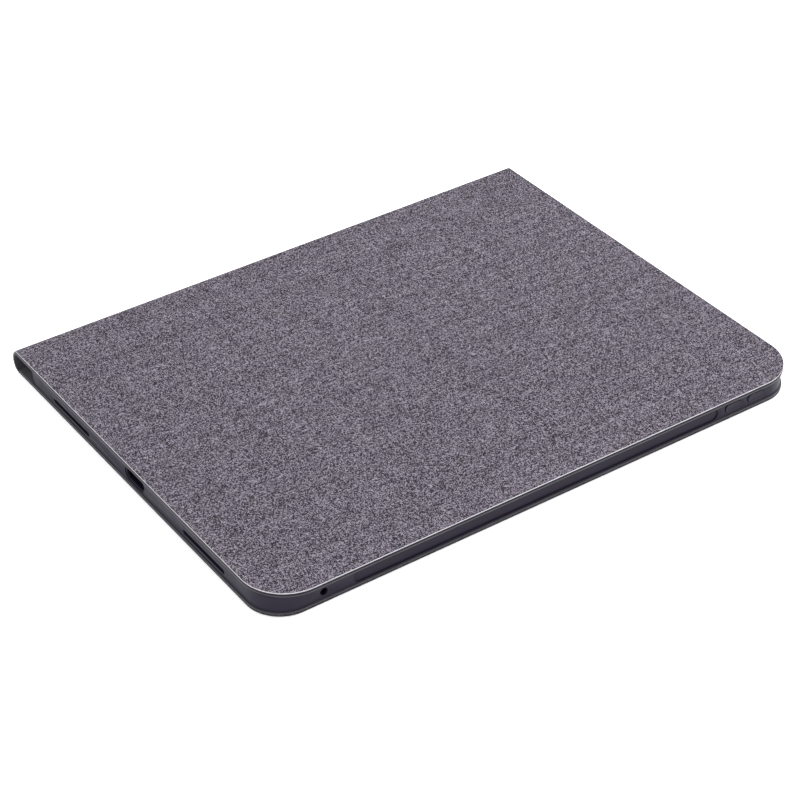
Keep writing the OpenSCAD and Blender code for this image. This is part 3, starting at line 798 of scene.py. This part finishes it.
def face_out(piece):
    """Make the arc's faces look away from the spine's middle line."""
    open_piece(piece)
    bpy.ops.mesh.select_all(action="SELECT")
    bpy.ops.mesh.normals_make_consistent(inside=False)
    shape = bmesh.from_edit_mesh(piece.data)
    shape.faces.ensure_lookup_table()
    face = shape.faces[len(shape.faces) // 2]
    out = face.calc_center_median() - Vector(at(*spine_mid))
    if face.normal.dot(Vector((0, out.y, out.z))) < 0:
        bpy.ops.mesh.flip_normals()
    bpy.ops.object.mode_set(mode="OBJECT")
    return piece


spine_cloth = arc_sheet("spine_cloth", half_cover, spine_radius, seam_angle, 24)
face_out(spine_cloth)
lay_map(spine_cloth)
dress(spine_cloth, cloth_finish, cut_edge_finish)
thicken(spine_cloth, 0.55, -1.0, rim_offset=1)
smooth(spine_cloth)
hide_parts("spine_fabric_lower", "spine_fabric_upper")
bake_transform(spine_cloth)
heights = [v.co.z / MM for v in spine_cloth.data.vertices]
print("spine cloth from z", round(min(heights), 2), "to", round(max(heights), 2))

# %% [markdown]
# The cloth of the back is turned up round the edge of its boards, so its outline is
# extruded up into a low rim and the fold is rounded. The camera window is cut out
# while the sheet is still flat and thin.

# %% Cloth of the back and the spine's lower quarter
half_back = back_high[0]
camera_low, camera_high = box_mm("camera_ring")


def camera_plug(name, grow, z0, z1, radius):
    """A block with round corners for the camera window."""
    return round_plate(
        name, camera_low[0] - grow, camera_high[0] + grow, camera_low[1] - grow, camera_high[1] + grow,
        z0, z1, radius + grow, 10,
    )


def back_sheet(name, z, rim_height=0.0, far_y=None):
    """The plan of the back as a sheet, with a rim turned up round three sides."""
    end_y = far_y or hinge_y
    piece = round_sheet(name, -half_back, half_back, back_low[1], end_y, z, 17.0, 24, front_only=True)
    if rim_height:
        open_piece(piece)
        pick(piece, "EDGE", lambda e: e.is_boundary and middle(e).y < (end_y - 0.01) * MM)
        bpy.ops.mesh.extrude_region_move(TRANSFORM_OT_translate={"value": (0, 0, rim_height * MM)})
        at_fold = level(z)
        pick(piece, "EDGE", lambda e: not e.is_boundary and at_fold(e))
        bpy.ops.mesh.bevel(offset=0.45 * MM, segments=4, affect="EDGES")
        bpy.ops.object.mode_set(mode="OBJECT")
    return piece


def widen_spine(piece):
    """Bring the spine part of a back sheet out to the cover's width."""
    open_piece(piece)
    pick(piece, "VERT", lambda v: v.co.y > (hinge_y + 0.05) * MM)
    bpy.ops.transform.resize(value=(half_cover / half_back, 1, 1), center_override=(0, 0, 0))
    bpy.ops.object.mode_set(mode="OBJECT")


def mark_rim(piece, slot):
    """Give the upright faces of a turned-up edge the piece's second material, a darker copy of the cloth that
    paints shade on them.
    """
    open_piece(piece)
    pick(piece, "FACE", lambda f: abs(f.normal.z) < 0.85 and middle(f).y < (hinge_y - 1) * MM)
    piece.active_material_index = slot
    bpy.ops.object.material_slot_assign()
    bpy.ops.object.mode_set(mode="OBJECT")


back_cloth = back_sheet("back_cloth", 0.0, rim_height=1.28)
cut_rows(back_cloth, near_hinge)
spin_edge(back_cloth, hinge_y, 0.0, -foot_angle - seam_angle, 9)
widen_spine(back_cloth)
face_up(back_cloth, False)
thicken(back_cloth, 0.5, -1.0)
carve(back_cloth, camera_plug("window", 0.0, -2, 4, 9.5))
lay_map(back_cloth)
dress(back_cloth, cloth_finish, shaded_rim_finish)
# The rim's upright faces get the darker cloth copy: painted shade.
mark_rim(back_cloth, 1)
smooth(back_cloth)
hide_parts("back_fabric")
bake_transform(back_cloth)
print("back cloth", len(back_cloth.data.polygons), "faces")

# %% [markdown]
# ## The lining
# A soft microfibre lines the inside. It follows the cloth round the spine a little
# further in.

# %% Lining of the cover, the spine and the back
inner_radius = spine_radius - 1.2
cover_turn = math.asin((lining_low[2] - spine_mid[1]) / inner_radius)
cover_end_y = arc_point(inner_radius, cover_turn)[0]
cover_inside = round_sheet(
    "cover_inside", -half_cover, half_cover, lining_low[1], cover_end_y, lining_low[2],
    cover_corner, 28, front_only=True,
)
cut_rows(cover_inside, near_hinge + [hinge_y, hinge_y + 0.5, hinge_y + 0.9])
spin_edge(cover_inside, cover_end_y, lining_low[2], -(cover_turn - seam_angle), 2)
face_up(cover_inside, False)
lay_map(cover_inside)
dress(cover_inside, lining_finish)
thicken(cover_inside, 0.58, -1.0)
smooth(cover_inside, 50)
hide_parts("cover_lining")
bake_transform(cover_inside)

spine_lining = arc_sheet("spine_lining", half_cover, inner_radius, seam_angle, 20)
face_out(spine_lining)
lay_map(spine_lining)
dress(spine_lining, lining_finish)
thicken(spine_lining, 0.58, 1.0)
smooth(spine_lining)
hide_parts("spine_lining_lower", "spine_lining_upper")
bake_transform(spine_lining)

back_turn = math.asin((spine_mid[1] - back_high[2] - 0.5) / inner_radius)
back_end_y = arc_point(inner_radius, -back_turn)[0]
lining_z = spine_mid[1] - inner_radius * math.sin(back_turn)
back_inside = back_sheet("back_inside", lining_z, far_y=back_end_y)
cut_rows(back_inside, near_hinge + [hinge_y, hinge_y + 0.4])
spin_edge(back_inside, back_end_y, lining_z, back_turn - seam_angle, 4)
widen_spine(back_inside)
face_up(back_inside, True)
thicken(back_inside, 0.48, -1.0)
carve(back_inside, camera_plug("window", 0.0, -2, 4, 9.5))
lay_map(back_inside)
dress(back_inside, lining_finish)
smooth(back_inside, 50)
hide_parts("back_lining")
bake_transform(back_inside)
print("lining level", round(lining_z, 2), "cover lining ends at y", round(cover_end_y, 2))

# %% [markdown]
# ## The moulded tray
# The tray is one soft moulding: a floor, a low wall with a lip that holds the
# tablet, and openings for its ports. It starts as a plate with the outer outline.
# The pocket, the lip's opening and every slot are cut out with plugs, and then all
# edges are rounded the way a mould leaves them.

# %% Tray body
tray_x, tray_front, tray_back = tray_high[0], tray_low[1], tray_high[1]
tray_z0, tray_z1 = tray_low[2], tray_high[2]
wall, floor_t, lip, lip_reach, step = 1.5, 1.0, 0.9, 1.0, 0.5
tray_corner = 16.4
ring_width = 1.45
tray_mid_y = (tray_front + tray_back) / 2
lip_z = tray_z1 - lip
tray = round_plate("tray", -tray_x, tray_x, tray_front, tray_back, tray_z0, tray_z1, tray_corner, 24)
open_piece(tray)
pick(tray, "EDGE", level(tray_z1))
bpy.ops.mesh.bevel(offset=step * MM, segments=3, affect="EDGES")
pick(tray, "EDGE", level(tray_z0))
bpy.ops.mesh.bevel(offset=0.35 * MM, segments=3, affect="EDGES")
bpy.ops.object.mode_set(mode="OBJECT")


def pocket_plug(name, inset, z0, z1):
    """The tray's outline moved in by an inset, as a plug."""
    return round_plate(
        name, -tray_x + inset, tray_x - inset, tray_front + inset, tray_back - inset,
        z0, z1, tray_corner - inset, 24,
    )


carve(
    tray, pocket_plug("pocket", wall, tray_z0 + floor_t, lip_z),
    pocket_plug("mouth", wall + lip_reach, lip_z - 0.05, tray_z1 + 2),
)
carve(tray, camera_plug("camera_hole", -ring_width, tray_z0 - 2, tray_z0 + 3, 9.45))
print("tray body", len(tray.data.polygons), "faces")

# %% Openings in the tray's walls
tablet_half = tray_x - wall - 0.1
tablet_mid_z = tray_z0 + floor_t + 3.2
port_y = tray_mid_y
speaker_off = 58.05
through = 8
port_size, dish_size, dish_depth = (15.1, 5.2), (17.1, 6.6), 0.9
speaker_size, speaker_drop = (33.5, 2.2), 1.2
hole_width, hole_from_end, hole_drop = 3.7, 25.1, 0.6
stylus_start, stylus_length, stylus_depth = 39.5, 196.0, 1.0
up_low, up_high = box_mm("volume_up_pad")
down_low, down_high = box_mm("volume_down_pad")
power_low, power_high = box_mm("power_pad")
pad_z = (up_low[2] + up_high[2]) / 2
gap = 0.25
carve(tray, pill_plug("port", *port_size, through, "X", (-tray_x, port_y, tablet_mid_z)))
carve(tray, pill_plug("port_dish", *dish_size, dish_depth, "X", (-tray_x, port_y, tablet_mid_z)))
for side in (-1, 1):
    for way in (-1, 1):
        place = (side * tray_x, port_y + way * speaker_off, tablet_mid_z - speaker_drop)
        carve(tray, pill_plug("speaker", *speaker_size, through, "X", place))
place = (-tablet_half + hole_from_end, tray_front, tablet_mid_z - hole_drop)
carve(tray, pill_plug("tray_hole", hole_width, hole_width, through, "Y", place, 16))
place = (-tablet_half + stylus_start + stylus_length / 2, tray_front, (tray_z0 + lip_z) / 2)
carve(tray, pill_plug("stylus_rest", stylus_length, lip_z - tray_z0 - 1.2, stylus_depth, "Y", place))
for low, high in ((up_low, up_high), (down_low, down_high)):
    place = ((low[0] + high[0]) / 2, tray_front, pad_z)
    width, height = (high[k] - low[k] + 2 * gap for k in (0, 2))
    carve(tray, pill_plug("pad_slot", width, height, through, "Y", place))
place = (tray_x, (power_low[1] + power_high[1]) / 2, pad_z)
width, height = (power_high[k] - power_low[k] + 2 * gap for k in (1, 2))
carve(tray, pill_plug("power_slot", width, height, through, "X", place))
soften(tray, 0.16, 2, 50)
seat(tray, tray_finish, "case", "tablet_tray")
print("tray with openings", len(tray.data.polygons), "faces")

# %% [markdown]
# ## Button pads and the camera's ring
# Each pad is a soft pill that stands a little proud of its slot, with a face that
# steps in fine rings down to a shallow dip for the finger. The camera window is
# bordered by a thin moulded ring that covers the cloth's cut edge.

# %% Pads and ring


def make_pad(name, node, body, axis, side):
    """A pill whose face steps in fine rings down to a shallow dip, in place of a CAD pad."""
    low, high = box_mm(node)
    centre = [(a + b) / 2 for a, b in zip(low, high)]
    length = (high[0] - low[0]) if axis == "Y" else (high[1] - low[1])
    depth = (high[1] - low[1]) if axis == "Y" else (high[0] - low[0])
    piece = pill_plug(name, length, high[2] - low[2], depth, axis, centre)
    open_piece(piece)
    normal_axis = 1 if axis == "Y" else 0
    pick(piece, "FACE", lambda f: f.normal[normal_axis] * side > 0.9)
    for thickness, rise in ((0.12, 0.0), (0.1, 0.05), (0.15, 0.03), (0.5, -0.02), (0.25, -0.1)):
        bpy.ops.mesh.inset(thickness=thickness * MM, depth=0)
        push = [0.0, 0.0, 0.0]
        push[normal_axis] = side * (rise - 0.02) * MM
        bpy.ops.transform.translate(value=push)
    close_piece(piece, 60)
    return seat(piece, pad_finish, body, node)


pads = [
    make_pad("volume_up_button", "volume_up_pad", "volume_up", "Y", -1),
    make_pad("volume_down_button", "volume_down_pad", "volume_down", "Y", -1),
    make_pad("power_button", "power_pad", "power", "X", 1),
]
ring = camera_plug("camera_border", 0.0, camera_low[2], camera_high[2], 9.45)
carve(ring, camera_plug("ring_hole", -ring_width, -2, 4, 9.45))
soften(ring, 0.3, 3, 40)
seat(ring, tray_finish, "case", "camera_ring")
print("pads", [p.name for p in pads], "and", ring.name)

# %% [markdown]
# ## The keyboard
# A thin keyboard lies under the cover, held by magnets, with its keys towards the
# tray. Its base is a shallow shell and its deck a plate with a well for each key.
# The wells are cut with one set of blocks, placed where the CAD has its key caps.

# %% Keyboard shell
base_low, base_high = box_mm("keyboard_base")
deck_low, deck_high = box_mm("keyboard_deck")
port_low, port_high = box_mm("charge_port")
switch_low, switch_high = box_mm("power_switch")
key_nodes = {
    "function_row_keys": "function_row", "number_row_keys": "number_row", "upper_row_keys": "upper_row",
    "home_row_keys": "home_row", "lower_row_keys": "lower_row", "bottom_row_keys": "bottom_row",
    "space_bar": "space_bar", "arrow_left_key": "arrow_left", "arrow_right_key": "arrow_right",
    "arrow_up_key": "arrow_up", "arrow_down_key": "arrow_down",
}


def key_spans(node):
    """Where each key of a row starts and ends along X, from the CAD row's faces."""
    mesh = frame["nodes"][node].data
    spans = []
    faces = ([mesh.vertices[i].co.x / MM for i in face.vertices] for face in mesh.polygons)
    for low, high in sorted((min(x), max(x)) for x in faces):
        if spans and low < spans[-1][1] + 0.5:
            spans[-1][1] = max(spans[-1][1], high)
        else:
            spans.append([low, high])
    return spans


def block(name, x0, x1, y0, y1, z0, z1):
    """A plain block for cutting, from the cube primitive."""
    clear_selection()
    bpy.ops.mesh.primitive_cube_add(size=1.0)
    piece = bpy.context.object
    piece.name = name
    piece.scale = ((x1 - x0) * MM, (y1 - y0) * MM, (z1 - z0) * MM)
    piece.location = ((x0 + x1) / 2 * MM, (y0 + y1) / 2 * MM, (z0 + z1) / 2 * MM)
    bpy.ops.object.transform_apply(location=True, rotation=True, scale=True)
    return piece


def join_all(pieces, name):
    """Join pieces into one."""
    clear_selection()
    for piece in pieces:
        piece.select_set(True)
    bpy.context.view_layer.objects.active = pieces[0]
    if len(pieces) > 1:
        bpy.ops.object.join()
    joined = bpy.context.view_layer.objects.active
    joined.name = name
    return joined


def round_rim(piece, z, width, segments):
    """Round the edges that lie at one height."""
    open_piece(piece)
    pick(piece, "EDGE", level(z))
    bpy.ops.mesh.bevel(offset=width * MM, segments=segments, affect="EDGES")
    return close_piece(piece)


def plate_in(name, low, high, inset, z0, z1, radius, steps=12):
    """A round-cornered plate over the plan of a CAD box, moved in by an inset."""
    return round_plate(
        name, low[0] + inset, high[0] - inset, low[1] + inset, high[1] - inset, z0, z1, radius, steps,
    )


base_wall, shell_corner = 1.5, 8.0
edge_x = (base_low[0] - 1, base_low[0] + 3)
base = plate_in("keyboard_back", base_low, base_high, 0, base_low[2], base_high[2], shell_corner)
round_rim(base, base_high[2], 0.8, 4)
carve(base, plate_in(
    "inside", base_low, base_high, base_wall, base_low[2] - 1, base_high[2] - 1, shell_corner - base_wall, 8,
))
carve(base, block(
    "port_gap", *edge_x, port_low[1] - 0.1, port_high[1] + 0.1, base_low[2] - 1, port_high[2] + 0.1,
))
carve(base, block(
    "switch_gap", *edge_x, switch_low[1] - 0.3, switch_high[1] + 2.9, base_low[2] - 1, switch_high[2] + 0.25,
))
screw_spots = [k * (base_high[0] - base_low[0]) for k in (-0.4, -0.14, 0.14, 0.4)]
screw_y = (port_low[1] + port_high[1]) / 2
seat_r = 1.6
for x in screw_spots:
    carve(base, round_plate(
        "screw_seat", x - seat_r, x + seat_r, screw_y - seat_r, screw_y + seat_r,
        base_high[2] - 0.6, base_high[2] + 1, seat_r - 0.001, 8,
    ))
soften(base, 0.12, 2, 50)
seat(base, shell_finish, "keyboard", "keyboard_base")

deck = plate_in("keyboard_top", deck_low, deck_high, 0, deck_low[2], deck_high[2], shell_corner)
round_rim(deck, deck_low[2], 0.6, 4)
wells = []
well_gap = 0.3
for node in key_nodes:
    low, high = box_mm(node)
    for x0, x1 in key_spans(node):
        sides = (x0 - well_gap, x1 + well_gap, low[1] - well_gap, high[1] + well_gap)
        wells.append(block("well", *sides, deck_low[2] - 1, deck_high[2] + 1))
print(len(wells), "key wells")
carve(deck, join_all(wells, "wells"))
soften(deck, 0.15, 2, 50)
seat(deck, shell_finish, "keyboard", "keyboard_deck")
print("keyboard shell", len(base.data.polygons), "+", len(deck.data.polygons), "faces")

# %% [markdown]
# A key cap is a low block with round corners that narrows towards its face. The
# face has a soft edge and a shallow dish for the fingertip. One cap is modelled for
# each size, and copies of it fill the rows. The caps are blank.

# %% Key caps
cap_low, cap_high = box_mm("home_row_keys")


def make_cap(width, depth):
    """One key cap, centred, with its dished face looking down out of the deck."""
    z0, z1 = cap_low[2], cap_high[2]
    cap = round_plate("cap", -width / 2, width / 2, -depth / 2, depth / 2, z0 + 0.02, z1, 1.2, 4)
    open_piece(cap)
    pick(cap, "FACE", lambda f: f.normal.z < -0.9)
    bpy.ops.transform.resize(value=(1 - 0.5 / width, 1 - 0.5 / depth, 1), center_override=(0, 0, z0 * MM))
    bpy.ops.mesh.bevel(offset=0.32 * MM, segments=3, affect="EDGES")
    pick(cap, "FACE", lambda f: f.normal.z < -0.99 and f.calc_area() > 4 * MM * MM)
    for border, sink in ((0.5, 0.03), (1.0, 0.08), (1.4, 0.07), (1.2, 0.03)):
        bpy.ops.mesh.extrude_region_move(TRANSFORM_OT_translate={"value": (0, 0, sink * MM)})
        bpy.ops.transform.resize(
            value=(1 - 2 * border / width, 1 - 2 * border / depth, 1), center_override=(0, 0, z0 * MM),
        )
    return close_piece(cap, 50)


def copy_to(piece, x, y):
    """A copy with its own mesh, moved along X and Y."""
    twin = piece.copy()
    twin.data = piece.data.copy()
    scene.collection.objects.link(twin)
    choose(twin)
    bpy.ops.transform.translate(value=(x * MM, y * MM, 0))
    bpy.ops.object.transform_apply(location=True, rotation=True, scale=True)
    return twin


caps = {}
for node, body in key_nodes.items():
    low, high = box_mm(node)
    depth = round(high[1] - low[1], 2)
    row = []
    for x0, x1 in key_spans(node):
        size = (round(x1 - x0, 2), depth)
        if size not in caps:
            caps[size] = make_cap(*size)
        row.append(copy_to(caps[size], (x0 + x1) / 2, (low[1] + high[1]) / 2))
    caps_of_row = join_all(row, body + "_caps")
    seat(caps_of_row, cap_finish, body, node)
for cap in caps.values():
    bpy.data.objects.remove(cap)
print(len(caps), "cap sizes")

# %% [markdown]
# ## Small pieces
# The rubber ledge that the tablet stands behind and the keyboard's four feet get
# rounded edges. What lies sealed inside the keyboard and the cover keeps its CAD
# shape and gets a finish of its own.

# %% Ledge and feet
ledge_low, ledge_high = box_mm("stand_ledge")
ledge = plate_in("tablet_ledge", ledge_low, ledge_high, 0, ledge_low[2], ledge_high[2], 1.49, 8)
round_rim(ledge, ledge_low[2], 0.5, 4)
seat(ledge, rubber_finish, "cover", "stand_ledge")

feet_low, feet_high = box_mm("keyboard_feet")
foot_r = 4.5
feet = []
for x in (feet_low[0] + foot_r, feet_high[0] - foot_r):
    for y in (feet_low[1] + foot_r, feet_high[1] - foot_r):
        clear_selection()
        bpy.ops.mesh.primitive_cylinder_add(
            vertices=40, radius=foot_r * MM, depth=(feet_high[2] - feet_low[2]) * MM,
            location=(x * MM, y * MM, (feet_low[2] + feet_high[2]) / 2 * MM),
        )
        foot = bpy.context.object
        bpy.ops.object.transform_apply(location=True, rotation=True, scale=True)
        feet.append(round_rim(foot, feet_high[2], 0.18, 3))
feet = join_all(feet, "rubber_feet")
seat(feet, rubber_finish, "keyboard", "keyboard_feet")
print("ledge and feet ready")

# %% Finishes of the CAD pieces that stay
sheet_steel = moulded("rolled_steel", (0.46, 0.46, 0.47), 0.36, 900, 0.01, metallic=1.0, tone=0.15)
foil_finish = moulded("battery_foil", (0.55, 0.56, 0.58), 0.38, 700, 0.03, metallic=0.8, tone=0.15)
mask_finish = moulded("solder_mask", (0.02, 0.11, 0.055), 0.35, 1200, 0.02, tone=0.3)
dome_finish = moulded("silicone_sheet", (0.62, 0.62, 0.6), 0.55, 1100, 0.03, tone=0.15)
lens_finish = moulded("light_guide", (0.8, 0.83, 0.85), 0.2, 900, 0.005, tone=0.1)
lens_finish.node_tree.nodes["Principled BSDF"].inputs["Transmission Weight"].default_value = 0.6
node_finishes = {
    "back_board_stand": board_finish, "back_board_tray": board_finish, "cover_board": board_finish,
    "closure_magnets": magnet_finish, "keyboard_magnets": magnet_finish, "stand_magnet": magnet_finish,
    "holding_plates": sheet_steel, "key_plate": sheet_steel, "charge_port": sheet_steel,
    "dome_sheet": dome_finish, "battery": foil_finish, "circuit_board": mask_finish,
    "indicator_lenses": lens_finish, "keyboard_screws": screw_finish, "screw_bosses": shell_finish,
    "power_switch": cap_finish,
}
for node, finish in node_finishes.items():
    dress(frame["nodes"][node], finish)
print(len(node_finishes), "CAD pieces finished")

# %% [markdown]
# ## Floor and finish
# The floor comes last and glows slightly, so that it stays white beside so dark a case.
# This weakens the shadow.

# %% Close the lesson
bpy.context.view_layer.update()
bpy.ops.mesh.primitive_plane_add(size=6.0, location=(0, 0, -0.4 * MM))
floor = bpy.context.object
floor.name = "floor"
floor_finish, _, floor_shader = new_material("pale_floor")
floor_shader.inputs["Base Color"].default_value = (0.92, 0.92, 0.92, 1)
floor_shader.inputs["Roughness"].default_value = 0.9
floor_shader.inputs["Emission Color"].default_value = (1, 1, 1, 1)
floor_shader.inputs["Emission Strength"].default_value = 0.45
floor.data.materials.append(floor_finish)
